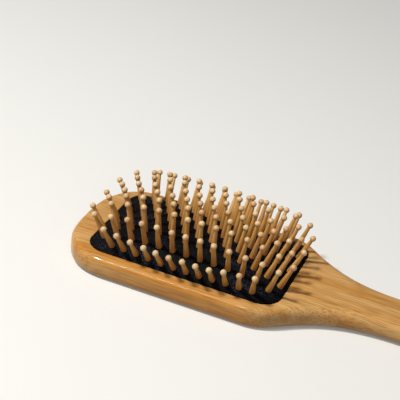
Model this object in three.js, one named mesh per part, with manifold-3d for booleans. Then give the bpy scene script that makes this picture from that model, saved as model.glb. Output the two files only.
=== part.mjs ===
// Paddle hair brush: a flat bamboo paddle with a pocket in its head, a domed rubber
// cushion clipped into the pocket, and wooden ball-tipped pins standing in the cushion.
// Millimetres, +Z up, brush lying on its back with the pins up, handle towards +X.
// The origin is on the underside, at the middle of the whole length and width.

import * as THREE from 'three';
import { mergeVertices } from 'three/addons/utils/BufferGeometryUtils.js';
import Module from 'manifold-3d';

const wasm = await Module();
wasm.setup();

// ---------------------------------------------------------------- driving dimensions

// cushion, as seen from above
const cushionLength = 105;
const cushionWidth = 67.5;
const cushionCorner = 11;

// bamboo paddle round the cushion
const paddleThickness = 11.8;
const sideRim = 7.75; // cushion edge to the side of the head
const tipRim = 14.8; // cushion edge to the tip of the head
const tipCrown = 3.5; // how far the tip edge bows out
const tipCorner = 24; // how far the tip's corners reach along each edge
const shoulderLength = 56; // cushion edge to the start of the grip
const gripLength = 74.2; // start of the grip to its end
const neckWidth = 29; // grip where the shoulders end
const gripWidth = 30.5; // grip at its widest
const headEdgeRadius = 4; // rounding of the head's long edges
const gripEdgeRadius = 5.2; // rounding of the grip's long edges, as deep as the board allows
const gripEdgeReach = 6.5; // how far that rounding reaches in from the grip's sides

// pocket in the head, with an undercut that holds the cushion's flange
const pocketDepth = 7.5;
const undercut = 2.2;
const clearance = 0.3;

// rubber cushion
const domeRise = 10.4; // middle of the cushion above the face of the head
const domeLengthPower = 3.3; // how squarely the dome falls off along its length
const domeWidthPower = 3.9; // and across its width
const wall = 1.7;
const flangeThickness = 1.2;
const ventRadius = 1;

// wooden pins
const pinCounts = [12, 13, 14, 13, 14, 13, 14, 13, 12]; // one row after another, front to back
const setsPerRow = 4; // pins of a row share this many root strips
const sideMargin = 2.4; // cushion edge to the outer rows
const outerRowStep = 7.35; // outer row to the next one
const endMargin = 3.3; // cushion end to the end pins of the long rows
const outerEndMargin = 13.8; // cushion end to the end pins of the outer rows
const outerRowBow = 1.8; // how far the ends of the outer rows curve inwards
const leanShare = 0.91; // lean of a pin against the slope of the dome
const tipwardLean = 0.15; // extra lean of the end pins towards the tip
const tipwardPower = 6; // how closely that lean keeps to the ends
const pinReach = 14.5; // cushion surface to the middle of the ball
const ballRadius = 1.62;
const neckRadius = 0.93;
const baseRadius = 1.62; // pin where it leaves the cushion
const holeClearance = 0.45; // round a pin in the cushion
const stripGap = 0.8; // under the cushion, to the strip that joins the feet of a set
const stripThickness = 0.9;
const pinSides = 6;

// ---------------------------------------------------------------- derived places

const headWidth = cushionWidth + 2 * sideRim;
const overallLength = tipRim + cushionLength + shoulderLength + gripLength;
const cushionX = -overallLength / 2 + tipRim + cushionLength / 2;
const topZ = paddleThickness;
const pocketFloorZ = topZ - pocketDepth;
const rowNames = 'abcdefghi';
const outerRow = (pinCounts.length - 1) / 2;
const rowStep = (cushionWidth / 2 - sideMargin - outerRowStep) / (outerRow - 1);
const holeRadius = baseRadius + holeClearance;
const stripWidth = 2 * baseRadius;
const stripDepth = wall + stripGap;

// ---------------------------------------------------------------- solids

function toManifold(geometry) {
  const bare = geometry.clone();
  bare.deleteAttribute('normal');
  bare.deleteAttribute('uv');
  const merged = mergeVertices(bare, 1e-5);
  const mesh = new wasm.Mesh({
    numProp: 3,
    vertProperties: new Float32Array(merged.attributes.position.array),
    triVerts: new Uint32Array(merged.index.array),
  });
  mesh.merge();
  return new wasm.Manifold(mesh);
}

function toGeometry(solid) {
  const mesh = solid.getMesh();
  const geometry = new THREE.BufferGeometry();
  geometry.setAttribute('position', new THREE.BufferAttribute(new Float32Array(mesh.vertProperties), 3));
  geometry.setIndex(new THREE.BufferAttribute(new Uint32Array(mesh.triVerts), 1));
  geometry.computeVertexNormals();
  return geometry;
}

function slab(shape, lowZ, highZ, curveSegments) {
  const geometry = new THREE.ExtrudeGeometry(shape, {
    depth: highZ - lowZ, bevelEnabled: false, curveSegments,
  });
  return geometry.translate(0, 0, lowZ);
}

// The triangles that fill a loop, seen from above.
function levelCap(loop) {
  return THREE.ShapeUtils.triangulateShape(loop.map((point) => new THREE.Vector2(point.x, point.y)), []);
}

// A closed skin through loops of equally many points, with a cap on the first and the last.
function skin(loops, cap = levelCap) {
  const count = loops[0].length;
  const positions = loops.flat().flatMap((point) => [point.x, point.y, point.z]);
  const index = [];
  for (let k = 0; k + 1 < loops.length; k += 1) {
    for (let j = 0; j < count; j += 1) {
      const a = k * count + j;
      const b = k * count + ((j + 1) % count);
      index.push(a, b, b + count, a, b + count, a + count);
    }
  }
  for (const [a, b, c] of cap(loops[0])) index.push(c, b, a);
  const last = (loops.length - 1) * count;
  for (const [a, b, c] of cap(loops[loops.length - 1])) index.push(last + a, last + b, last + c);
  const geometry = new THREE.BufferGeometry();
  geometry.setAttribute('position', new THREE.Float32BufferAttribute(positions, 3));
  geometry.setIndex(index);
  return geometry;
}

// ---------------------------------------------------------------- bamboo paddle

// Outline of the paddle, the side towards +Y, from the tip's middle to the grip's end.
function halfOutline() {
  const half = headWidth / 2;
  const tip = -overallLength / 2;
  const cushionEnd = cushionX + cushionLength / 2;
  const gripStart = cushionEnd + shoulderLength;
  const gripEnd = gripStart + gripLength;
  const path = new THREE.Path();
  path.moveTo(tip, 0);
  path.quadraticCurveTo(tip, half - tipCorner, tip + tipCrown, half - tipCorner * 0.72);
  path.bezierCurveTo(tip + tipCrown * 2.2, half - tipCorner * 0.3,
    tip + tipCorner * 0.62, half, tip + tipCorner * 1.2, half);
  path.lineTo(cushionEnd - shoulderLength * 0.29, half);
  // shoulder: a full corner, then a long hollow sweep down to the grip
  const drop = (half - neckWidth / 2) * 0.415;
  const bendX = cushionEnd + shoulderLength * 0.135;
  path.bezierCurveTo(cushionEnd - shoulderLength * 0.08, half,
    bendX - shoulderLength * 0.143, half - drop + shoulderLength * 0.107, bendX, half - drop);
  path.bezierCurveTo(bendX + shoulderLength * 0.214, half - drop - shoulderLength * 0.16,
    gripStart - shoulderLength * 0.43, neckWidth / 2 + 0.7, gripStart, neckWidth / 2);
  path.bezierCurveTo(gripStart + gripLength * 0.22, neckWidth / 2,
    gripStart + gripLength * 0.42, gripWidth / 2, gripEnd - gripWidth * 0.85, gripWidth / 2);
  path.bezierCurveTo(gripEnd - gripWidth * 0.3, gripWidth / 2,
    gripEnd, gripWidth * 0.34, gripEnd, 0);
  return path.getPoints(6);
}

// The edge rounding grows from the head to the grip along the shoulders.
function edgeRounding(x) {
  const start = cushionX + cushionLength / 2 - shoulderLength * 0.1;
  const end = cushionX + cushionLength / 2 + shoulderLength * 0.75;
  const share = THREE.MathUtils.smoothstep(x, start, end);
  return {
    reach: THREE.MathUtils.lerp(headEdgeRadius, Math.min(gripEdgeReach, gripWidth * 0.3), share),
    height: THREE.MathUtils.lerp(headEdgeRadius, gripEdgeRadius, share),
  };
}

function paddleSolid() {
  const side = halfOutline();
  const mirrored = side.slice(1, -1).reverse().map((point) => new THREE.Vector2(point.x, -point.y));
  const outline = [...mirrored.reverse(), ...side.slice(1).reverse(), side[0]];
  const count = outline.length;
  const deepest = paddleThickness / 2 - 0.1;
  const loops = [];
  const quarter = [0, 0.35, 0.7, 1];
  const steps = [...quarter.map((t) => [t, -1]), ...quarter.slice().reverse().map((t) => [t, 1])];
  for (const [t, up] of steps) {
    loops.push(outline.map((point, j) => {
      const before = outline[(j + count - 1) % count];
      const after = outline[(j + 1) % count];
      const tangent = new THREE.Vector2().subVectors(after, before).normalize();
      const { reach, height } = edgeRounding(point.x);
      const tall = Math.min(height, deepest);
      const inset = reach * (1 - Math.sin(t * Math.PI / 2));
      const z = tall * (1 - Math.cos(t * Math.PI / 2));
      return new THREE.Vector3(point.x - tangent.y * inset, point.y + tangent.x * inset,
        up < 0 ? z : topZ - z);
    }));
  }
  const board = toManifold(skin(loops));
  const pocket = toManifold(slab(cushionShape(clearance), pocketFloorZ, topZ + 1, 5));
  const grooveHeight = flangeThickness + 2 * clearance;
  const groove = toManifold(slab(cushionShape(undercut), pocketFloorZ, pocketFloorZ + grooveHeight, 5));
  return board.subtract(pocket).subtract(groove);
}

// ---------------------------------------------------------------- rubber cushion

// Rounded rectangle of the cushion, grown by an offset, centred on the cushion.
function cushionShape(offset) {
  const a = cushionLength / 2 + offset;
  const b = cushionWidth / 2 + offset;
  const r = Math.min(cushionCorner, cushionWidth / 2 - wall - 1) + offset;
  const shape = new THREE.Shape();
  const turn = Math.PI / 2;
  shape.absarc(cushionX + a - r, b - r, r, 0, turn);
  shape.absarc(cushionX - a + r, b - r, r, turn, 2 * turn);
  shape.absarc(cushionX - a + r, -b + r, r, 2 * turn, 3 * turn);
  shape.absarc(cushionX + a - r, -b + r, r, 3 * turn, 4 * turn);
  return shape;
}

// The dome falls off as a power of the distance from the middle, each way.
function fallOff(distance, half, power) {
  return Math.max(0, 1 - Math.abs(distance / half) ** power);
}

function fallOffSlope(distance, half, power) {
  return -power / half * Math.abs(distance / half) ** (power - 1) * Math.sign(distance);
}

function domeHeight(x, y) {
  return domeRise * fallOff(x - cushionX, cushionLength / 2, domeLengthPower)
    * fallOff(y, cushionWidth / 2, domeWidthPower);
}

function cushionSolid() {
  const outer = evenLoop(0);
  const inner = evenLoop(-wall);
  const flange = evenLoop(undercut - clearance);
  const flangeLow = pocketFloorZ + clearance;
  const flangeHigh = flangeLow + flangeThickness;
  const at = (loop, z) => loop.map((point) => new THREE.Vector3(point.x, point.y, z));
  const shares = [0.2, 0.5, 0.72, 0.88];
  const domed = (loop, share, drop) => loop.map((point) => {
    const x = cushionX + (point.x - cushionX) * share;
    const y = point.y * share;
    return new THREE.Vector3(x, y, topZ + domeHeight(x, y) - drop);
  });
  const under = wall + 0.1;
  const loops = [
    ...shares.map((share) => domed(inner, share, under)),
    domed(inner, 1, under),
    at(inner, flangeHigh), at(inner, flangeLow), at(flange, flangeLow), at(flange, flangeHigh),
    at(outer, flangeHigh),
    domed(outer, 1, 0),
    ...shares.slice().reverse().map((share) => domed(outer, share, 0)),
  ];
  let solid = toManifold(skin(loops));
  for (const pin of pins()) solid = solid.subtract(toManifold(holeGeometry(pin)));
  const vent = new THREE.CylinderGeometry(ventRadius, ventRadius, 3 * domeRise, pinSides);
  vent.rotateX(Math.PI / 2).translate(cushionX, 0, topZ + domeRise);
  return solid.subtract(toManifold(vent));
}

// The cushion's outline at an offset, as a loop with the same number of points for any offset.
function evenLoop(offset) {
  const perCorner = 3;
  const perSide = [5, 4];
  const a = cushionLength / 2 + offset;
  const b = cushionWidth / 2 + offset;
  const r = Math.max(cushionCorner + offset, 1);
  const centres = [[a - r, b - r], [-a + r, b - r], [-a + r, -b + r], [a - r, -b + r]];
  const loop = [];
  centres.forEach(([cx, cy], corner) => {
    for (let i = 0; i <= perCorner; i += 1) {
      const angle = (corner + i / perCorner) * Math.PI / 2;
      loop.push(new THREE.Vector2(cushionX + cx + r * Math.cos(angle), cy + r * Math.sin(angle)));
    }
    const from = loop[loop.length - 1];
    const [nx, ny] = centres[(corner + 1) % 4];
    const nextAngle = (corner + 1) * Math.PI / 2;
    const to = new THREE.Vector2(cushionX + nx + r * Math.cos(nextAngle), ny + r * Math.sin(nextAngle));
    const parts = perSide[corner % 2];
    for (let i = 1; i < parts; i += 1) loop.push(from.clone().lerp(to, i / parts));
  });
  return loop;
}

// ---------------------------------------------------------------- wooden pins

// Every pin: its row, its place in the row, its base on the cushion and its direction.
function pins() {
  const list = [];
  pinCounts.forEach((count, row) => {
    const fromMiddle = row - outerRow;
    const outer = Math.abs(fromMiddle) === outerRow;
    const longest = Math.max(...pinCounts);
    const pitch = outer ? (cushionLength - 2 * outerEndMargin) / (count - 1)
      : (cushionLength - 2 * endMargin) / (longest - 1);
    for (let i = 0; i < count; i += 1) {
      const along = (i - (count - 1) / 2) * pitch;
      const end = along / (cushionLength / 2 - outerEndMargin);
      const side = outer ? cushionWidth / 2 - sideMargin - outerRowBow * end * end
        : Math.abs(fromMiddle) * rowStep;
      const x = cushionX + along;
      const y = Math.sign(fromMiddle) * side;
      const u = fallOff(along, cushionLength / 2, domeLengthPower);
      const v = fallOff(y, cushionWidth / 2, domeWidthPower);
      const leanX = -fallOffSlope(along, cushionLength / 2, domeLengthPower) * Math.sqrt(v);
      const leanY = -fallOffSlope(y, cushionWidth / 2, domeWidthPower) * Math.sqrt(u);
      const lean = domeRise * leanShare;
      const tipward = tipwardLean * Math.abs(along / (cushionLength / 2)) ** tipwardPower;
      list.push({
        row,
        place: i,
        count,
        base: new THREE.Vector3(x, y, topZ + domeHeight(x, y)),
        direction: new THREE.Vector3(leanX * lean - tipward, leanY * lean, 1).normalize(),
      });
    }
  });
  return list;
}

function stand(geometry, pin) {
  const up = new THREE.Vector3(0, 1, 0);
  geometry.applyQuaternion(new THREE.Quaternion().setFromUnitVectors(up, pin.direction));
  return geometry.translate(pin.base.x, pin.base.y, pin.base.z);
}

function pinGeometry(pin) {
  const foot = stripDepth + stripThickness / 2;
  const taper = (baseRadius - neckRadius) / pinReach;
  const profile = [
    [0, -foot],
    [baseRadius + taper * foot, -foot],
    [neckRadius, pinReach - ballRadius],
    [ballRadius, pinReach],
    [ballRadius * 0.72, pinReach + ballRadius * 0.72],
    [0, pinReach + ballRadius],
  ].map(([radius, height]) => new THREE.Vector2(radius, height));
  return stand(new THREE.LatheGeometry(profile, pinSides), pin);
}

function holeGeometry(pin) {
  const reach = 2 * wall;
  return stand(new THREE.LatheGeometry([
    new THREE.Vector2(0, -reach),
    new THREE.Vector2(holeRadius, -reach),
    new THREE.Vector2(holeRadius, reach),
    new THREE.Vector2(0, reach),
  ], pinSides), pin);
}

// The strip under the cushion that joins the feet of a set, a little longer than the set.
function stripGeometry(set) {
  const overhang = stripWidth / 2;
  const loops = set.map((pin, i) => {
    const before = set[Math.max(i - 1, 0)].base;
    const after = set[Math.min(i + 1, set.length - 1)].base;
    const along = new THREE.Vector3().subVectors(after, before).normalize();
    const across = new THREE.Vector3().crossVectors(pin.direction, along).normalize();
    const end = (i === set.length - 1) - (i === 0);
    const corner = (side, depth) => pin.base.clone()
      .addScaledVector(pin.direction, -depth)
      .addScaledVector(across, side * stripWidth / 2)
      .addScaledVector(along, end * overhang);
    const low = stripDepth + stripThickness;
    return [corner(-1, low), corner(1, low), corner(1, stripDepth), corner(-1, stripDepth)];
  });
  return skin(loops, () => [[0, 1, 2], [0, 2, 3]]);
}

function pinSetSolid(set) {
  let solid = toManifold(stripGeometry(set));
  for (const pin of set) solid = solid.add(toManifold(pinGeometry(pin)));
  return solid;
}

// ---------------------------------------------------------------- materials and assembly

const bamboo = new THREE.MeshStandardMaterial({ color: 0xd2a064, roughness: 0.4, metalness: 0 });
const rubber = new THREE.MeshStandardMaterial({ color: 0x0d0d12, roughness: 0.75, metalness: 0 });
const pinWood = new THREE.MeshStandardMaterial({ color: 0xdcb478, roughness: 0.45, metalness: 0 });

function piece(name, solid, material) {
  const mesh = new THREE.Mesh(toGeometry(solid), material);
  mesh.name = name;
  return mesh;
}

const group = new THREE.Group();
group.add(piece('bamboo_paddle', paddleSolid(), bamboo));
group.add(piece('rubber_cushion', cushionSolid(), rubber));

const allPins = pins();
for (let row = 0; row < pinCounts.length; row += 1) {
  const rowPins = allPins.filter((pin) => pin.row === row);
  for (let set = 0; set < setsPerRow; set += 1) {
    const from = Math.round(set * rowPins.length / setsPerRow);
    const to = Math.round((set + 1) * rowPins.length / setsPerRow);
    const name = `pins_${rowNames[row]}${set + 1}`;
    group.add(piece(name, pinSetSolid(rowPins.slice(from, to)), pinWood));
  }
}

export default group;
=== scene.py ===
"""Paddle hair brush: lacquered bamboo paddle, domed rubber cushion and turned wooden pins.

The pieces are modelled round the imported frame, in metres, +Z up, grip towards +X.
"""

import math
import random

import bpy
from bpy.props import FloatProperty, FloatVectorProperty, IntProperty, PointerProperty
from mathutils import Matrix, Vector


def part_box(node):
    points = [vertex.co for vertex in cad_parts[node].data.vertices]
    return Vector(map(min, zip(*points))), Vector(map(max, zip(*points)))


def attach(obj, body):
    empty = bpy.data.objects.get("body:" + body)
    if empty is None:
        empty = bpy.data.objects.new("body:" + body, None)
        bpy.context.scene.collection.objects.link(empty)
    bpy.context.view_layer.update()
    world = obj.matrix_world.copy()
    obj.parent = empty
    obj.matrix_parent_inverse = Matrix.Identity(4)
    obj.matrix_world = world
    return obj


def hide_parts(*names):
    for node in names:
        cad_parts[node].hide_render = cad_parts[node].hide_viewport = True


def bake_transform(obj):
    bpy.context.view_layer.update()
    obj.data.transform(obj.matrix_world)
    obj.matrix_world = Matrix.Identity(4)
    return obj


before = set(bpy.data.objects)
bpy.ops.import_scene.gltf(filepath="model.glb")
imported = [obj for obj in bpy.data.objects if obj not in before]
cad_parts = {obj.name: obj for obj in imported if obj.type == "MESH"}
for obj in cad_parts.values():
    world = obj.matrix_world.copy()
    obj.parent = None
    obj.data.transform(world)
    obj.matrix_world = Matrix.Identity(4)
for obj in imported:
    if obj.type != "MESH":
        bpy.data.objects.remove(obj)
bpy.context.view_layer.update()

bl_info = {
    "name": "Paddle Brush",
    "version": (1, 0, 0),
    "blender": (4, 5, 0),
    "location": "3D Viewport > Sidebar > Brush",
    "description": "Models a bamboo paddle brush with a rubber cushion and wooden pins",
    "category": "Add Mesh",
}

MM = 0.001
PADDLE_LOW, PADDLE_HIGH = (Vector(corner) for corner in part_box("bamboo_paddle"))
CUSHION_LOW, CUSHION_HIGH = (Vector(corner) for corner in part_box("rubber_cushion"))
FACE_Z = PADDLE_HIGH.z
FLANGE_REACH = 1.9 * MM
ROWS = "abcdefghi"
SETS_PER_ROW = 4
WEAVE_PITCH = 1.3 * MM
PIN_COUNTS = (12, 13, 14, 13, 14, 13, 14, 13, 12)
PIN_SEED = 118
PIN_SWAY = 0.012
POCKET_BREAK = 0.45 * MM
NEAR = 0.05 * MM
DIMPLE_DEPTH = 0.38 * MM
DIMPLE_SPREAD = 2.1 * MM
DIMPLE_REACH = 6 * MM
KEY_LAMP = {"name": "key_lamp", "offset": (-0.53, -0.36, 1.03), "size": (0.14, 0.14), "power": 11.0}
STRIP_LAMP = {"name": "strip_lamp", "offset": (-0.31, -0.45, 1.1), "size": (0.6, 0.05), "power": 2.8}
FILL_LAMP = {"name": "fill_lamp", "offset": (0.7, -1.1, 0.7), "size": (1.2, 1.2), "power": 2.7}


# ------------------------------------------------------------------ sizes and colours


def length(name, description, default):
    """A size in metres."""
    return FloatProperty(name=name, description=description, default=default, min=0.0,
                         precision=5, unit="LENGTH", subtype="DISTANCE")


def tint(name, description, default):
    """A linear colour."""
    return FloatVectorProperty(name=name, description=description, default=default,
                               subtype="COLOR", size=3, min=0.0, max=1.0)


class PaddleSettings(bpy.types.PropertyGroup):
    """Sizes and colours of the bamboo paddle."""

    side_rim: length("Side Rim", "Cushion edge to the side of the head", 7.75 * MM)
    tip_rim: length("Tip Rim", "Cushion edge to the tip of the head", 14.8 * MM)
    tip_crown: length("Tip Crown", "How far the tip edge bows out", 3.5 * MM)
    tip_corner: length("Tip Corner", "Reach of the tip's corners", 24 * MM)
    shoulder: length("Shoulder", "Cushion edge to the start of the grip", 56 * MM)
    neck_width: length("Neck Width", "Grip where the shoulders end", 29 * MM)
    grip_width: length("Grip Width", "Grip at its widest", 30.5 * MM)
    head_edge: length("Head Edge", "Rounding of the head's edges", 4 * MM)
    grip_edge: length("Grip Edge", "Depth of the rounding on the grip", 5.2 * MM)
    grip_edge_reach: length("Grip Edge Reach", "Width of the rounding on the grip", 6.5 * MM)
    pocket_depth: length("Pocket Depth", "Depth of the pocket for the cushion", 7.5 * MM)
    undercut: length("Undercut", "Reach of the groove that holds the cushion", 2.2 * MM)
    strip_width: length("Strip Width", "Width of the glued bamboo strips", 18.3 * MM)
    pale: tint("Pale Bamboo", "Lightest fibres", (0.77, 0.47, 0.18))
    honey: tint("Honey Bamboo", "Main colour of the board", (0.61, 0.27, 0.05))
    dark: tint("Dark Bamboo", "Darkest fibres and glue lines", (0.3, 0.11, 0.015))


class CushionSettings(bpy.types.PropertyGroup):
    """Sizes and colour of the rubber cushion."""

    corner: length("Corner", "Corner radius seen from above", 11 * MM)
    rise: length("Rise", "Middle of the cushion above the face of the head", 10.4 * MM)
    length_power: FloatProperty(name="Length Power", default=3.3, min=1.0,
                                description="How squarely the dome falls off along its length")
    width_power: FloatProperty(name="Width Power", default=3.9, min=1.0,
                               description="How squarely the dome falls off across its width")
    wall: length("Wall", "Thickness of the rubber", 1.7 * MM)
    flange: length("Flange", "Thickness of the flange in the groove", 1.2 * MM)
    gap: length("Gap", "Clearance between the cushion and the paddle", 0.3 * MM)
    rubber: tint("Rubber", "Colour of the rubber", (0.0018, 0.0018, 0.0026))
    # The Fleck colour paints glints: bright dots that stand for the lamps' sparkle on the rubber's texture.
    painted_glint: tint("Fleck", "Colour of the fine flecks in the rubber", (0.05, 0.056, 0.085))


class PinSettings(bpy.types.PropertyGroup):
    """Sizes, layout and colours of the wooden pins."""

    side_margin: length("Side Margin", "Cushion edge to the outer rows", 2.4 * MM)
    outer_step: length("Outer Step", "Outer row to the next one", 7.35 * MM)
    end_margin: length("End Margin", "Cushion end to the long rows' end pins", 3.3 * MM)
    outer_end_margin: length("Outer End Margin", "Cushion end to the outer rows' end pins", 13.8 * MM)
    outer_bow: length("Outer Bow", "How far the ends of the outer rows curve inwards", 1.8 * MM)
    lean_share: FloatProperty(name="Lean Share", default=0.91, min=0.0, max=1.0,
                              description="Lean of a pin against the slope of the dome")
    tipward_lean: FloatProperty(name="Tipward Lean", default=0.15, min=0.0,
                                description="Extra lean of the end pins towards the tip")
    tipward_power: FloatProperty(name="Tipward Power", default=6.0, min=0.0,
                                 description="How closely that lean keeps to the ends")
    reach: length("Reach", "Cushion surface to the middle of the ball", 14.5 * MM)
    ball: length("Ball Radius", "Radius of the ball tip", 1.62 * MM)
    neck: length("Neck Radius", "Radius under the ball", 0.93 * MM)
    base: length("Base Radius", "Radius at the cushion", 1.62 * MM)
    foot: length("Foot Radius", "Radius of the flared foot under the cushion", 2.2 * MM)
    sides: IntProperty(name="Sides", description="Sides of a turned pin", default=18, min=8)
    shaft: tint("Shaft", "Colour of the shaft", (0.76, 0.43, 0.12))
    # Low Shaft is painted shade: the pins are coloured darker low down, where they stand close together
    # above the cushion.
    shade: tint("Low Shaft", "Colour near the cushion", (0.54, 0.24, 0.05))
    # The ball colour is partly the wood's own paler tone and partly painted light on the tops of the balls.
    tip: tint("Tip", "Colour of the ball", (0.92, 0.66, 0.36))


class StageSettings(bpy.types.PropertyGroup):
    """Floor, lamps and camera."""

    azimuth: FloatProperty(name="Azimuth", description="Turn of the camera round the brush",
                           default=math.radians(16.84), subtype="ANGLE")
    elevation: FloatProperty(name="Elevation", description="Height angle of the camera",
                             default=math.radians(28.92), subtype="ANGLE")
    roll: FloatProperty(name="Roll", description="Turn of the camera about its own axis",
                        default=math.radians(-9.0), subtype="ANGLE")
    distance: length("Distance", "Camera to the point it looks at", 677.6 * MM)
    lens: FloatProperty(name="Lens", description="Focal length in millimetres", default=108.0)
    aim_along: FloatProperty(name="Aim Along", default=-18.7 * MM, unit="LENGTH",
                             description="Aim point, along the brush from the cushion's middle")
    aim_across: FloatProperty(name="Aim Across", default=46.7 * MM, unit="LENGTH",
                              description="Aim point, across the brush from the cushion's middle")
    floor: tint("Floor", "Colour of the floor", (0.93, 0.93, 0.915))
    glow: FloatProperty(name="Glow", default=0.15, min=0.0, max=1.0,
                        description="Share of the floor's paleness that needs no lamp")
    bounce: tint("Bounce", "Colour of the light that the floor throws back", (0.3, 0.28, 0.2))


# ------------------------------------------------------------------ small tools


def settings(name):
    """The property group of that name on the scene."""
    return getattr(bpy.context.scene, name)


def deselect_all():
    """Nothing is selected or active in object mode."""
    if bpy.context.object and bpy.context.object.mode != "OBJECT":
        bpy.ops.object.mode_set(mode="OBJECT")
    bpy.ops.object.select_all(action="DESELECT")


def make_active(piece):
    """Only this piece is selected, and it is active."""
    deselect_all()
    piece.select_set(True)
    bpy.context.view_layer.objects.active = piece


def named(name):
    """Names the new primitive and its mesh."""
    piece = bpy.context.object
    piece.name = name
    piece.data.name = name
    return piece


def apply_all_modifiers(piece):
    """Applies every modifier, from the top."""
    make_active(piece)
    for modifier in list(piece.modifiers):
        bpy.ops.object.modifier_apply(modifier=modifier.name)


def outward(piece):
    """Faces of a closed piece point out."""
    make_active(piece)
    bpy.ops.object.mode_set(mode="EDIT")
    bpy.ops.mesh.select_all(action="SELECT")
    bpy.ops.mesh.normals_make_consistent(inside=False)
    bpy.ops.object.mode_set(mode="OBJECT")


def smooth(piece, angle):
    """Smooth shading, with edges sharper than the angle kept."""
    make_active(piece)
    bpy.ops.object.shade_smooth_by_angle(angle=math.radians(angle))


def raise_loops(name, loops):
    """A closed solid that starts as a filled circle and is extruded through the loops."""
    deselect_all()
    count = len(loops[0])
    bpy.ops.mesh.primitive_circle_add(vertices=count, radius=1.0, fill_type="NGON")
    piece = named(name)
    mesh = piece.data
    station = mesh.attributes.new("station", "INT", "POINT")
    station.data.foreach_set("value", list(range(count)))
    mesh.vertices.foreach_set("co", [value for point in loops[0] for value in point])
    for loop in loops[1:]:
        bpy.ops.object.mode_set(mode="EDIT")
        bpy.ops.mesh.extrude_region_move(TRANSFORM_OT_translate={"value": (0, 0, MM)})
        bpy.ops.object.mode_set(mode="OBJECT")
        stations = mesh.attributes["station"].data
        for vertex in mesh.vertices:
            if vertex.select:
                vertex.co = loop[stations[vertex.index].value]
    mesh.attributes.remove(mesh.attributes["station"])
    outward(piece)
    return piece


def cut_away(piece, cutter):
    """Cuts one solid out of another and removes the cutter."""
    modifier = piece.modifiers.new("cut", "BOOLEAN")
    modifier.operation = "DIFFERENCE"
    modifier.solver = "EXACT"
    modifier.object = cutter
    apply_all_modifiers(piece)
    bpy.data.objects.remove(cutter)


# ------------------------------------------------------------------ material tools


class Nodes:
    """Adds and joins the nodes of one material."""

    def __init__(self, name):
        self.material = bpy.data.materials.new(name)
        self.material.use_nodes = True
        self.tree = self.material.node_tree
        self.shader = self.tree.nodes["Principled BSDF"]

    def add(self, kind, **values):
        """A node with its properties and input values set."""
        node = self.tree.nodes.new(kind)
        for key, value in values.items():
            if hasattr(node, key):
                setattr(node, key, value)
            else:
                node.inputs[key.replace("_", " ")].default_value = value
        return node

    def link(self, source, target):
        """Joins an output to an input."""
        self.tree.links.new(source, target)

    def math(self, operation, first, second=0.0):
        """A sum on two values or outputs."""
        node = self.tree.nodes.new("ShaderNodeMath")
        node.operation = operation
        for socket, value in zip(node.inputs, (first, second)):
            if isinstance(value, (int, float)):
                socket.default_value = value
            else:
                self.link(value, socket)
        return node.outputs[0]

    def mix(self, factor, first, second, blend="MIX"):
        """A blend of two colours or outputs."""
        node = self.tree.nodes.new("ShaderNodeMix")
        node.data_type = "RGBA"
        node.blend_type = blend
        for socket, value in ((node.inputs["Factor"], factor), (node.inputs[6], first),
                              (node.inputs[7], second)):
            if isinstance(value, (int, float)):
                socket.default_value = value
            elif isinstance(value, bpy.types.NodeSocket):
                self.link(value, socket)
            else:
                socket.default_value = (*value, 1.0)
        return node.outputs[2]

    def ramp(self, source, *stops):
        """A grey or coloured ramp of (place, value) stops."""
        node = self.tree.nodes.new("ShaderNodeValToRGB")
        elements = node.color_ramp.elements
        while len(elements) < len(stops):
            elements.new(0.5)
        for element, (place, value) in zip(elements, stops):
            element.position = place
            colour = (value, value, value) if isinstance(value, (int, float)) else value
            element.color = (*colour, 1.0)
        self.link(source, node.inputs[0])
        return node.outputs[0]

    def noise(self, vector, scale, detail=2.0, roughness=0.5, stretch=(1, 1, 1)):
        """Noise on a stretched copy of the coordinates."""
        mapping = self.add("ShaderNodeMapping", vector_type="POINT")
        mapping.inputs["Scale"].default_value = stretch
        self.link(vector, mapping.inputs["Vector"])
        node = self.tree.nodes.new("ShaderNodeTexNoise")
        node.inputs["Scale"].default_value = scale
        node.inputs["Detail"].default_value = detail
        node.inputs["Roughness"].default_value = roughness
        self.link(mapping.outputs[0], node.inputs["Vector"])
        return node.outputs[0]

    def bump(self, height, distance, strength=1.0, below=None):
        """A bump from a height, on top of another bump."""
        node = self.tree.nodes.new("ShaderNodeBump")
        node.inputs["Strength"].default_value = strength
        node.inputs["Distance"].default_value = distance
        self.link(height, node.inputs["Height"])
        if below is not None:
            self.link(below, node.inputs["Normal"])
        return node.outputs[0]

    def finish(self, colour, normal=None, roughness=None):
        """Joins the results to the shader and gives the material."""
        self.link(colour, self.shader.inputs["Base Color"])
        if normal is not None:
            self.link(normal, self.shader.inputs["Normal"])
        if roughness is not None:
            self.link(roughness, self.shader.inputs["Roughness"])
        return self.material


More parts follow.
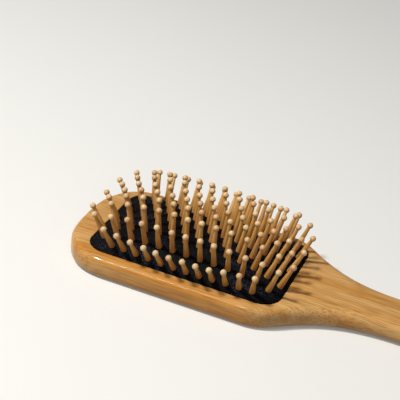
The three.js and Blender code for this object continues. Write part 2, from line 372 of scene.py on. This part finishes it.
def bamboo_material(look):
    """Lacquered bamboo: glued strips of straight fibres, which show as dots where they are cut."""
    nodes = Nodes("lacquered_bamboo")
    place = nodes.add("ShaderNodeTexCoord").outputs["Object"]
    split = nodes.add("ShaderNodeSeparateXYZ")
    nodes.link(place, split.inputs[0])

    # glued strips, each with its own tone and its own piece of the grain
    strips = nodes.math("DIVIDE", split.outputs[1], look.strip_width)
    number = nodes.math("FLOOR", strips)
    tone = nodes.add("ShaderNodeTexWhiteNoise", noise_dimensions="1D")
    nodes.link(number, tone.inputs["W"])
    from_seam = nodes.math("ABSOLUTE", nodes.math("SUBTRACT", nodes.math("FRACT", strips), 0.5))
    seam = nodes.ramp(from_seam, (0.488, 0.0), (0.496, 0.24))

    # the fibres wander a little along the board
    wander = nodes.noise(place, 1.0, 2.0, stretch=(14, 26, 26))
    shift = nodes.math("MULTIPLY", nodes.math("SUBTRACT", wander, 0.5), 0.0035)
    joined = nodes.add("ShaderNodeCombineXYZ")
    nodes.link(nodes.math("ADD", split.outputs[0], number), joined.inputs[0])
    nodes.link(nodes.math("ADD", split.outputs[1], shift), joined.inputs[1])
    nodes.link(nodes.math("ADD", split.outputs[2], shift), joined.inputs[2])
    grain = joined.outputs[0]

    streaks = nodes.noise(grain, 1.0, 3.0, 0.55, stretch=(9, 150, 150))
    fibres = nodes.noise(grain, 1.0, 3.0, 0.6, stretch=(24, 850, 850))
    vessels = nodes.noise(grain, 1.0, 0.0, 0.5, stretch=(90, 2000, 2000))
    clouds = nodes.noise(grain, 1.0, 2.0, stretch=(22, 60, 60))

    pale, honey, dark = tuple(look.pale), tuple(look.honey), tuple(look.dark)
    colour = nodes.mix(nodes.ramp(streaks, (0.34, 0.0), (0.66, 1.0)), honey, pale)
    colour = nodes.mix(nodes.ramp(clouds, (0.45, 0.0), (0.65, 0.55)), colour, pale)
    colour = nodes.mix(nodes.math("MULTIPLY", tone.outputs[0], 0.14), colour, dark)
    colour = nodes.mix(nodes.ramp(fibres, (0.32, 0.24), (0.54, 0.0)), colour, dark)
    colour = nodes.mix(nodes.ramp(vessels, (0.52, 0.0), (0.64, 0.42)), colour, dark)
    colour = nodes.mix(seam, colour, dark)

    height = nodes.math("ADD", fibres, nodes.math("MULTIPLY", vessels, -0.5))
    normal = nodes.bump(height, 0.00004, 0.4)
    gloss = nodes.ramp(fibres, (0.3, 0.5), (0.7, 0.42))
    nodes.shader.inputs["Coat Weight"].default_value = 0.6
    nodes.shader.inputs["Coat Roughness"].default_value = 0.05
    nodes.shader.inputs["Specular IOR Level"].default_value = 0.12
    return nodes.finish(colour, normal, gloss)


def rubber_material(look):
    """Dull black rubber with a fine crossed texture and painted glints: faint bright dots on random specks
    and on the raised points of the weave.
    """
    nodes = Nodes("black_rubber")
    place = nodes.add("ShaderNodeTexCoord").outputs["Object"]
    split = nodes.add("ShaderNodeSeparateXYZ")
    nodes.link(place, split.inputs[0])
    threads = [nodes.math("SINE", nodes.math("MULTIPLY", axis, 2 * math.pi / WEAVE_PITCH))
               for axis in split.outputs[:2]]
    weave = nodes.math("MULTIPLY", threads[0], threads[1])
    # painted glints: bright dots on random specks and on the weave's raised points, standing for the lamps'
    # sparkle on the textured rubber
    glints = nodes.math("ADD", nodes.noise(place, 1300.0, 1.0, 0.5),
                        nodes.math("MULTIPLY", weave, 0.16))
    patches = nodes.noise(place, 60.0, 2.0, 0.5)
    # where the painted glints show, in patches
    glint_amount = nodes.math("MULTIPLY", nodes.ramp(glints, (0.56, 0.0), (0.74, 1.0)),
                        nodes.ramp(patches, (0.4, 0.2), (0.65, 1.0)))
    colour = nodes.mix(glint_amount, tuple(look.rubber), tuple(look.painted_glint))
    grain = nodes.noise(place, 1500.0, 2.0, 0.6)
    normal = nodes.bump(nodes.math("ADD", grain, nodes.math("MULTIPLY", weave, 0.25)), 0.00008, 0.7)
    nodes.shader.inputs["Specular IOR Level"].default_value = 0.06
    return nodes.finish(colour, normal, nodes.ramp(grain, (0.3, 0.62), (0.7, 0.78)))


def pin_material(look):
    """Turned wood: painted shade low on the shaft near the cushion, a pale ball that is partly painted
    light, each pin its own tone.
    """
    nodes = Nodes("turned_pin_wood")
    along = nodes.add("ShaderNodeAttribute", attribute_name="along").outputs["Fac"]
    tone = nodes.add("ShaderNodeAttribute", attribute_name="tone").outputs["Fac"]
    fibre_place = nodes.add("ShaderNodeAttribute", attribute_name="fibre").outputs["Vector"]
    grain = nodes.noise(fibre_place, 1.0, 3.0, 0.6, stretch=(90, 1400, 1400))
    bands = nodes.noise(fibre_place, 1.0, 1.0, 0.5, stretch=(25, 420, 420))
    # painted shade: the lower half of each pin darkens towards the cushion
    colour = nodes.mix(nodes.ramp(along, (0.0, 0.0), (0.5, 1.0)), tuple(look.shade), tuple(look.shaft))
    # pale ball: partly the wood's own tone, partly painted light on the balls' tops
    colour = nodes.mix(nodes.ramp(along, (0.79, 0.0), (0.9, 1.0)), colour, tuple(look.tip))
    warm = (0.6, 0.25, 0.075)
    colour = nodes.mix(nodes.math("MULTIPLY", tone, 0.5), colour, warm)
    colour = nodes.mix(nodes.ramp(grain, (0.36, 0.38), (0.56, 0.0)), colour, (0.26, 0.095, 0.022))
    colour = nodes.mix(nodes.ramp(bands, (0.5, 0.0), (0.72, 0.28)), colour, (0.86, 0.6, 0.33))
    normal = nodes.bump(grain, 0.00003, 0.5)
    nodes.shader.inputs["Specular IOR Level"].default_value = 0.35
    nodes.shader.inputs["Coat Weight"].default_value = 0.12
    nodes.shader.inputs["Coat Roughness"].default_value = 0.3
    return nodes.finish(colour, normal, nodes.ramp(grain, (0.3, 0.5), (0.7, 0.4)))


def floor_material(look):
    """A plain pale floor, which throws less light back up than it shows to the camera."""
    nodes = Nodes("pale_floor")
    place = nodes.add("ShaderNodeTexCoord").outputs["Object"]
    mottle = nodes.noise(place, 9.0, 2.0, 0.5)
    lit = tuple(value * (1 - look.glow) for value in look.floor)
    shown = nodes.mix(mottle, lit, tuple(value * 0.985 for value in lit))
    ray = nodes.add("ShaderNodeLightPath")
    seen = nodes.math("MAXIMUM", ray.outputs["Is Camera Ray"], ray.outputs["Is Glossy Ray"])
    seen = nodes.math("MAXIMUM", seen, ray.outputs["Is Transmission Ray"])
    nodes.shader.inputs["Roughness"].default_value = 0.8
    nodes.shader.inputs["Emission Color"].default_value = (*look.floor, 1.0)
    nodes.link(nodes.math("MULTIPLY", seen, look.glow), nodes.shader.inputs["Emission Strength"])
    nodes.shader.inputs["Specular IOR Level"].default_value = 0.1
    return nodes.finish(nodes.mix(seen, tuple(look.bounce), shown))


# ------------------------------------------------------------------ shapes shared by the pieces


def cushion_frame():
    """Middle and half sizes of the cushion's outline."""
    middle = (CUSHION_LOW + CUSHION_HIGH) / 2
    half = (CUSHION_HIGH - CUSHION_LOW) / 2
    return middle.x, half.x - FLANGE_REACH, half.y - FLANGE_REACH


def rounded_rectangle(half_length, half_width, corner, per_corner, z):
    """A loop round a rectangle with round corners, about the cushion's middle."""
    middle = cushion_frame()[0]
    loop = []
    signs = ((1, 1), (-1, 1), (-1, -1), (1, -1))
    for quarter, (sx, sy) in enumerate(signs):
        for step in range(per_corner + 1):
            angle = (quarter + step / per_corner) * math.pi / 2
            loop.append(Vector((middle + sx * (half_length - corner) + corner * math.cos(angle),
                                sy * (half_width - corner) + corner * math.sin(angle), z)))
    return loop


def fall_off(distance, half, power):
    """The dome's height share at a distance from its middle."""
    return max(0.0, 1.0 - abs(distance / half) ** power)


def fall_off_slope(distance, half, power):
    """The slope of fall_off."""
    return -math.copysign(power / half * abs(distance / half) ** (power - 1), distance)


def dome_height(along, across):
    """Height of the cushion above the face of the head."""
    look = settings("brush_cushion")
    half_length, half_width = cushion_frame()[1:]
    return (look.rise * fall_off(along, half_length, look.length_power)
            * fall_off(across, half_width, look.width_power))


def bezier(start, first, second, end, count):
    """Points of a cubic curve, without its start."""
    points = []
    for step in range(1, count + 1):
        t = step / count
        weights = ((1 - t) ** 3, 3 * t * (1 - t) ** 2, 3 * t * t * (1 - t), t ** 3)
        points.append(tuple(sum(w * p[axis] for w, p in zip(weights, (start, first, second, end)))
                            for axis in (0, 1)))
    return points


# ------------------------------------------------------------------ paddle


def paddle_half_outline(look):
    """Outline towards +Y, from the tip's middle to the end of the grip."""
    middle, half_length, _ = cushion_frame()
    half = (PADDLE_HIGH.y - PADDLE_LOW.y) / 2
    tip, end = PADDLE_LOW.x, PADDLE_HIGH.x
    cushion_end = middle + half_length
    shoulder = look.shoulder
    grip_start = cushion_end + shoulder
    grip_length = end - grip_start
    neck, grip = look.neck_width / 2, look.grip_width
    corner, crown = look.tip_corner, look.tip_crown
    drop = (half - neck) * 0.415
    bend = (cushion_end + shoulder * 0.135, half - drop)
    tip_knee = (tip + crown, half - corner * 0.72)
    quad = (tip, half - corner)
    curves = (
        ((tip + (quad[0] - tip) * 2 / 3, quad[1] * 2 / 3),
         (tip_knee[0] + (quad[0] - tip_knee[0]) * 2 / 3, tip_knee[1] + (quad[1] - tip_knee[1]) * 2 / 3),
         tip_knee, 20),
        ((tip + crown * 2.2, half - corner * 0.3), (tip + corner * 0.62, half),
         (tip + corner * 1.2, half), 22),
        (None, None, (cushion_end - shoulder * 0.29, half), 24),
        ((cushion_end - shoulder * 0.08, half),
         (bend[0] - shoulder * 0.143, half - drop + shoulder * 0.107), bend, 20),
        ((bend[0] + shoulder * 0.214, half - drop - shoulder * 0.16),
         (grip_start - shoulder * 0.43, neck + 0.7 * MM), (grip_start, neck), 24),
        ((grip_start + grip_length * 0.22, neck), (grip_start + grip_length * 0.42, grip / 2),
         (end - grip * 0.85, grip / 2), 20),
        ((end - grip * 0.3, grip / 2), (end, grip * 0.34), (end, 0.0), 24),
    )
    points = [(tip, 0.0)]
    for first, second, last, count in curves:
        start = points[-1]
        if first is None:
            first = tuple(a + (b - a) / 3 for a, b in zip(start, last))
            second = tuple(a + (b - a) * 2 / 3 for a, b in zip(start, last))
        points += bezier(start, first, second, last, count)
    return points


def paddle_loops(look):
    """Loops from the underside's flat to the face's flat, round both edges."""
    side = paddle_half_outline(look)
    outline = [Vector((x, -y)) for x, y in side] + [Vector((x, y)) for x, y in side[-2:0:-1]]
    count = len(outline)
    middle, half_length, _ = cushion_frame()
    grow_from = middle + half_length - look.shoulder * 0.1
    grow_to = middle + half_length + look.shoulder * 0.75
    turns = [step / 7 for step in range(8)]
    steps = [(t, False) for t in turns] + [(t, True) for t in reversed(turns)]
    loops = []
    for t, upper in steps:
        loop = []
        for j, point in enumerate(outline):
            tangent = (outline[(j + 1) % count] - outline[j - 1]).normalized()
            share = min(max((point.x - grow_from) / (grow_to - grow_from), 0.0), 1.0)
            share = share * share * (3 - 2 * share)
            reach = look.head_edge + (look.grip_edge_reach - look.head_edge) * share
            tall = look.head_edge + (look.grip_edge - look.head_edge) * share
            inset = reach * (1 - math.sin(t * math.pi / 2))
            low = tall * (1 - math.cos(t * math.pi / 2))
            loop.append(Vector((point.x - tangent.y * inset, point.y + tangent.x * inset,
                                FACE_Z - low if upper else low)))
        loops.append(loop)
    return loops


def soften_pocket_edge(piece, look):
    """Breaks the sharp edge where the pocket meets the face of the head."""
    middle, half_length, half_width = cushion_frame()
    gap = settings("brush_cushion").gap
    make_active(piece)
    bpy.ops.object.mode_set(mode="EDIT")
    bpy.ops.mesh.select_mode(type="EDGE")
    bpy.ops.mesh.select_all(action="DESELECT")
    bpy.ops.object.mode_set(mode="OBJECT")
    mesh = piece.data
    walls = set()
    for polygon in mesh.polygons:
        centre = polygon.center
        inside = (abs(centre.x - middle) < half_length + gap + NEAR
                  and abs(centre.y) < half_width + gap + NEAR)
        if inside and abs(polygon.normal.z) < 0.1 and centre.z > FACE_Z - look.pocket_depth * 0.8:
            walls.update(tuple(sorted(key)) for key in polygon.edge_keys)
    for edge in mesh.edges:
        at_face = all(abs(mesh.vertices[v].co.z - FACE_Z) < NEAR for v in edge.vertices)
        edge.select = at_face and tuple(sorted(edge.vertices)) in walls
    bpy.ops.object.mode_set(mode="EDIT")
    bpy.ops.mesh.bevel(offset=POCKET_BREAK, segments=3, affect="EDGES")
    bpy.ops.mesh.select_mode(type="VERT")
    bpy.ops.object.mode_set(mode="OBJECT")


class BRUSH_OT_paddle(bpy.types.Operator):
    """Models the bamboo paddle with its pocket"""

    bl_idname = "brush.paddle"
    bl_label = "Bamboo Paddle"

    def execute(self, context):
        look, cushion = settings("brush_paddle"), settings("brush_cushion")
        _, half_length, half_width = cushion_frame()
        piece = raise_loops("paddle", paddle_loops(look))
        floor_z = FACE_Z - look.pocket_depth
        groove_top = floor_z + cushion.flange + 2 * cushion.gap
        cuts = ((cushion.gap, floor_z, FACE_Z + 2 * MM), (look.undercut, floor_z, groove_top))
        for offset, low, high in cuts:
            loops = [rounded_rectangle(half_length + offset, half_width + offset,
                                       cushion.corner + offset, 16, z) for z in (low, high)]
            cut_away(piece, raise_loops("pocket_cutter", loops))
        soften_pocket_edge(piece, look)
        smooth(piece, 35)
        piece.data.materials.append(bamboo_material(look))
        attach(piece, "paddle")
        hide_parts("bamboo_paddle")
        return {"FINISHED"}


# ------------------------------------------------------------------ cushion


def cushion_place(across_share, along_share, half_length, half_width, corner):
    """A square grid's point, moved into the cushion's rounded outline."""
    x, y = along_share * half_length, across_share * half_width
    past_x, past_y = abs(x) - (half_length - corner), abs(y) - (half_width - corner)
    if past_x > 0 and past_y > 0:
        squeeze = max(past_x, past_y) / math.hypot(past_x, past_y)
        x = math.copysign(half_length - corner + past_x * squeeze, x)
        y = math.copysign(half_width - corner + past_y * squeeze, y)
    return x, y


def dimple(x, y, bases):
    """How far the rubber draws in round the pins near a place."""
    depth = 0.0
    for base in bases:
        distance = math.hypot(x - base.x, y - base.y)
        if distance < DIMPLE_REACH:
            depth += DIMPLE_DEPTH * math.exp(-(distance / DIMPLE_SPREAD) ** 2)
    return depth


class BRUSH_OT_cushion(bpy.types.Operator):
    """Models the domed rubber cushion with its skirt and flange"""

    bl_idname = "brush.cushion"
    bl_label = "Rubber Cushion"

    def execute(self, context):
        look, paddle = settings("brush_cushion"), settings("brush_paddle")
        middle, half_length, half_width = cushion_frame()
        deselect_all()
        bpy.ops.mesh.primitive_grid_add(x_subdivisions=144, y_subdivisions=94, size=2.0)
        piece = named("cushion")
        pins = [pin["base"] for pin in pin_places()]
        for vertex in piece.data.vertices:
            x, y = cushion_place(vertex.co.y, vertex.co.x, half_length, half_width, look.corner)
            near = [base for base in pins if abs(base.x - middle - x) < DIMPLE_REACH]
            z = FACE_Z + dome_height(x, y) - dimple(x + middle, y, near)
            vertex.co = (x + middle, y, z)
        # skirt down the pocket's wall, then the flange into its groove
        flange_high = FACE_Z - paddle.pocket_depth + look.gap + look.flange
        bpy.ops.object.mode_set(mode="EDIT")
        bpy.ops.mesh.select_all(action="SELECT")
        bpy.ops.mesh.region_to_loop()
        bpy.ops.object.mode_set(mode="OBJECT")
        for drop, spread in ((1.2 * MM, 0.0), (FACE_Z - flange_high, 0.0),
                             (FACE_Z - flange_high, FLANGE_REACH)):
            bpy.ops.object.mode_set(mode="EDIT")
            bpy.ops.mesh.extrude_region_move(TRANSFORM_OT_translate={"value": (0, 0, 0)})
            bpy.ops.object.mode_set(mode="OBJECT")
            for vertex in piece.data.vertices:
                if vertex.select:
                    x, y = vertex.co.x - middle, vertex.co.y
                    inner_x = max(abs(x) - (half_length - look.corner), 0.0)
                    inner_y = max(abs(y) - (half_width - look.corner), 0.0)
                    away = Vector((math.copysign(inner_x, x), math.copysign(inner_y, y)))
                    away = away.normalized() * spread if away.length > 0 else away
                    vertex.co = (vertex.co.x + away.x, y + away.y, FACE_Z - drop)
        solid = piece.modifiers.new("wall", "SOLIDIFY")
        solid.thickness = look.flange
        solid.offset = -1.0
        apply_all_modifiers(piece)
        outward(piece)
        smooth(piece, 50)
        piece.data.materials.append(rubber_material(look))
        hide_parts("rubber_cushion")
        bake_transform(piece)
        return {"FINISHED"}


# ------------------------------------------------------------------ pins


def pin_places():
    """Every pin: its row, its place, its base on the cushion and its direction."""
    look, cushion = settings("brush_pins"), settings("brush_cushion")
    middle, half_length, half_width = cushion_frame()
    outer_row = (len(PIN_COUNTS) - 1) // 2
    row_step = (half_width - look.side_margin - look.outer_step) / (outer_row - 1)
    places = []
    for row, count in enumerate(PIN_COUNTS):
        from_middle = row - outer_row
        outer = abs(from_middle) == outer_row
        if outer:
            pitch = (2 * half_length - 2 * look.outer_end_margin) / (count - 1)
        else:
            pitch = (2 * half_length - 2 * look.end_margin) / (max(PIN_COUNTS) - 1)
        for i in range(count):
            along = (i - (count - 1) / 2) * pitch
            side = abs(from_middle) * row_step
            if outer:
                end = along / (half_length - look.outer_end_margin)
                side = half_width - look.side_margin - look.outer_bow * end * end
            across = math.copysign(side, from_middle) if from_middle else 0.0
            u = fall_off(along, half_length, cushion.length_power)
            v = fall_off(across, half_width, cushion.width_power)
            lean = cushion.rise * look.lean_share
            slope_x = -fall_off_slope(along, half_length, cushion.length_power) * math.sqrt(v)
            slope_y = -fall_off_slope(across, half_width, cushion.width_power) * math.sqrt(u)
            tipward = look.tipward_lean * abs(along / half_length) ** look.tipward_power
            base = Vector((middle + along, across, FACE_Z + dome_height(along, across)))
            places.append({"row": row, "place": i, "count": count, "base": base,
                           "direction": Vector((lean * slope_x - tipward, lean * slope_y, 1)).normalized()})
    return places


def pin_profile(look):
    """Radius and height of a pin at each turned station, from the foot to the ball."""
    ball, neck, base, reach = look.ball, look.neck, look.base, look.reach
    taper = (base - neck) / reach
    stations = [(look.foot, -3.1 * MM), (look.foot, -2.5 * MM), (base + taper * 2.2 * MM, -2.3 * MM),
                (base * 1.01, 0.0), (base - taper * reach * 0.22, reach * 0.2),
                (base - taper * reach * 0.5, reach * 0.45), (base - taper * reach * 0.78, reach * 0.7)]
    join = math.asin(neck / ball)
    stations.append((neck * 1.0, reach - ball * math.cos(join) - 0.25 * MM))
    for step in range(8):
        angle = join + (math.pi - join) * step / 8
        stations.append((ball * math.sin(angle), reach - ball * math.cos(angle)))
    stations.append((0.12 * MM, reach + ball))
    return stations


def turned_pin(look):
    """One upright pin, its base at the origin, with its place along the pin kept in an attribute."""
    stations = pin_profile(look)
    loops = []
    for radius, height in stations:
        loops.append([Vector((radius * math.cos(turn), radius * math.sin(turn), height))
                      for turn in (2 * math.pi * k / look.sides for k in range(look.sides))])
    pin = raise_loops("turned_pin", loops)
    mesh = pin.data
    along = mesh.attributes.new("along", "FLOAT", "POINT")
    tall = look.reach + look.ball
    along.data.foreach_set("value", [max(v.co.z, 0.0) / tall for v in mesh.vertices])
    return pin


def plant(pattern, place, name, rng):
    """A copy of the pin, standing in its place, with its own tone and its own piece of the grain."""
    pin = bpy.data.objects.new(name, pattern.data.copy())
    bpy.context.collection.objects.link(pin)
    mesh = pin.data
    turn = rng.uniform(0, 2 * math.pi)
    sway = [rng.gauss(0, 1) for _ in range(2)]
    tone = rng.random() ** 2.2
    offset = Vector((rng.uniform(-1, 1), rng.uniform(-1, 1), rng.uniform(-1, 1)))
    shade = mesh.attributes.new("tone", "FLOAT", "POINT")
    shade.data.foreach_set("value", [tone] * len(mesh.vertices))
    fibre = mesh.attributes.new("fibre", "FLOAT_VECTOR", "POINT")
    spots = [(v.co.z + offset.x, v.co.x + offset.y, v.co.y + offset.z) for v in mesh.vertices]
    fibre.data.foreach_set("vector", [value for spot in spots for value in spot])
    direction = place["direction"] + Vector((sway[0], sway[1], 0)) * PIN_SWAY
    stand = direction.to_track_quat("Z", "Y").to_matrix().to_4x4()
    mesh.transform(Matrix.Translation(place["base"]) @ stand @ Matrix.Rotation(turn, 4, "Z"))
    return pin


class BRUSH_OT_pins(bpy.types.Operator):
    """Turns one wooden pin and plants copies of it in the cushion, row by row"""

    bl_idname = "brush.pins"
    bl_label = "Wooden Pins"

    def execute(self, context):
        look = settings("brush_pins")
        pattern = turned_pin(look)
        material = pin_material(look)
        rng = random.Random(PIN_SEED)
        places = pin_places()
        for row, letter in enumerate(ROWS):
            in_row = [place for place in places if place["row"] == row]
            for number in range(SETS_PER_ROW):
                first = math.floor(number * len(in_row) / SETS_PER_ROW + 0.5)
                last = math.floor((number + 1) * len(in_row) / SETS_PER_ROW + 0.5)
                pins = [plant(pattern, place, "pin", rng) for place in in_row[first:last]]
                deselect_all()
                for pin in pins:
                    pin.select_set(True)
                context.view_layer.objects.active = pins[0]
                bpy.ops.object.join()
                piece = named(f"turned_pins_{letter}{number + 1}")
                smooth(piece, 40)
                piece.data.materials.clear()
                piece.data.materials.append(material)
                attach(piece, f"pin_row_{letter}")
                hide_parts(f"pins_{letter}{number + 1}")
        bpy.data.objects.remove(pattern)
        return {"FINISHED"}


# ------------------------------------------------------------------ stage


def area_lamp(kind, middle, aim, colour=(1, 1, 1)):
    """A soft lamp at its offset from the cushion's middle, turned to its aim."""
    place = (middle + kind["offset"][0], *kind["offset"][1:])
    bpy.ops.object.light_add(type="AREA", location=place)
    lamp = bpy.context.object
    lamp.name = kind["name"]
    lamp.data.shape = "RECTANGLE"
    lamp.data.size, lamp.data.size_y = kind["size"]
    lamp.data.energy = kind["power"]
    lamp.data.color = colour
    lamp.rotation_euler = (Vector(aim) - Vector(place)).to_track_quat("-Z", "Y").to_euler()


class BRUSH_OT_stage(bpy.types.Operator):
    """Adds the floor, the soft lamps and the camera"""

    bl_idname = "brush.stage"
    bl_label = "Floor, Lamps and Camera"

    def execute(self, context):
        look = settings("brush_stage")
        scene = context.scene
        scene.view_settings.view_transform = "Standard"
        middle = cushion_frame()[0]
        deselect_all()
        bpy.ops.mesh.primitive_plane_add(size=6.0, location=(middle, 0, 0))
        floor = named("floor")
        bpy.ops.object.transform_apply(location=True, rotation=True, scale=True)
        floor.data.materials.append(floor_material(look))

        centre = (middle + 20 * MM, 0, 10 * MM)
        warm = (1.0, 0.97, 0.92)
        area_lamp(KEY_LAMP, middle, centre, warm)
        area_lamp(STRIP_LAMP, middle, centre, warm)
        area_lamp(FILL_LAMP, middle, centre)

        world = bpy.data.worlds.new("studio")
        scene.world = world
        world.use_nodes = True
        background = world.node_tree.nodes["Background"]
        background.inputs["Color"].default_value = (1.0, 0.985, 0.96, 1.0)
        background.inputs["Strength"].default_value = 0.12

        azimuth, elevation, roll = look.azimuth, look.elevation, look.roll
        back = Vector((math.sin(azimuth) * math.cos(elevation),
                       -math.cos(azimuth) * math.cos(elevation), math.sin(elevation)))
        right = Vector((math.cos(azimuth), math.sin(azimuth), 0))
        up = back.cross(right)
        across = right * math.cos(roll) - up * math.sin(roll)
        upright = right * math.sin(roll) + up * math.cos(roll)
        aim = Vector((middle + look.aim_along, look.aim_across, FACE_Z))
        bpy.ops.object.camera_add(location=aim + back * look.distance)
        camera = context.object
        camera.name = "camera"
        turn = Matrix((across, upright, back)).transposed()
        camera.rotation_euler = turn.to_euler()
        camera.data.lens = look.lens
        camera.data.sensor_width = 36.0
        camera.data.clip_start = 0.01
        scene.camera = camera
        return {"FINISHED"}


# ------------------------------------------------------------------ panel and registration


class BRUSH_PT_panel(bpy.types.Panel):
    """Lists the pieces of the brush"""

    bl_idname = "BRUSH_PT_panel"
    bl_label = "Paddle Brush"
    bl_space_type = "VIEW_3D"
    bl_region_type = "UI"
    bl_category = "Brush"

    def draw(self, context):
        column = self.layout.column()
        for operator in OPERATORS:
            column.operator(operator.bl_idname)


OPERATORS = (BRUSH_OT_paddle, BRUSH_OT_cushion, BRUSH_OT_pins, BRUSH_OT_stage)
GROUPS = {
    "brush_paddle": PaddleSettings,
    "brush_cushion": CushionSettings,
    "brush_pins": PinSettings,
    "brush_stage": StageSettings,
}


def register():
    """Registers the classes and puts the settings on the scene."""
    for group in (*GROUPS.values(), *OPERATORS, BRUSH_PT_panel):
        bpy.utils.register_class(group)
    for name, group in GROUPS.items():
        setattr(bpy.types.Scene, name, PointerProperty(type=group))


def unregister():
    """Takes the settings off the scene and drops the classes."""
    for name in GROUPS:
        delattr(bpy.types.Scene, name)
    for group in reversed((*GROUPS.values(), *OPERATORS, BRUSH_PT_panel)):
        bpy.utils.unregister_class(group)


def main():
    """Builds the whole brush."""
    register()
    bpy.ops.brush.stage()
    bpy.ops.brush.paddle()
    bpy.ops.brush.cushion()
    bpy.ops.brush.pins()


if __name__ == "__main__":
    main()
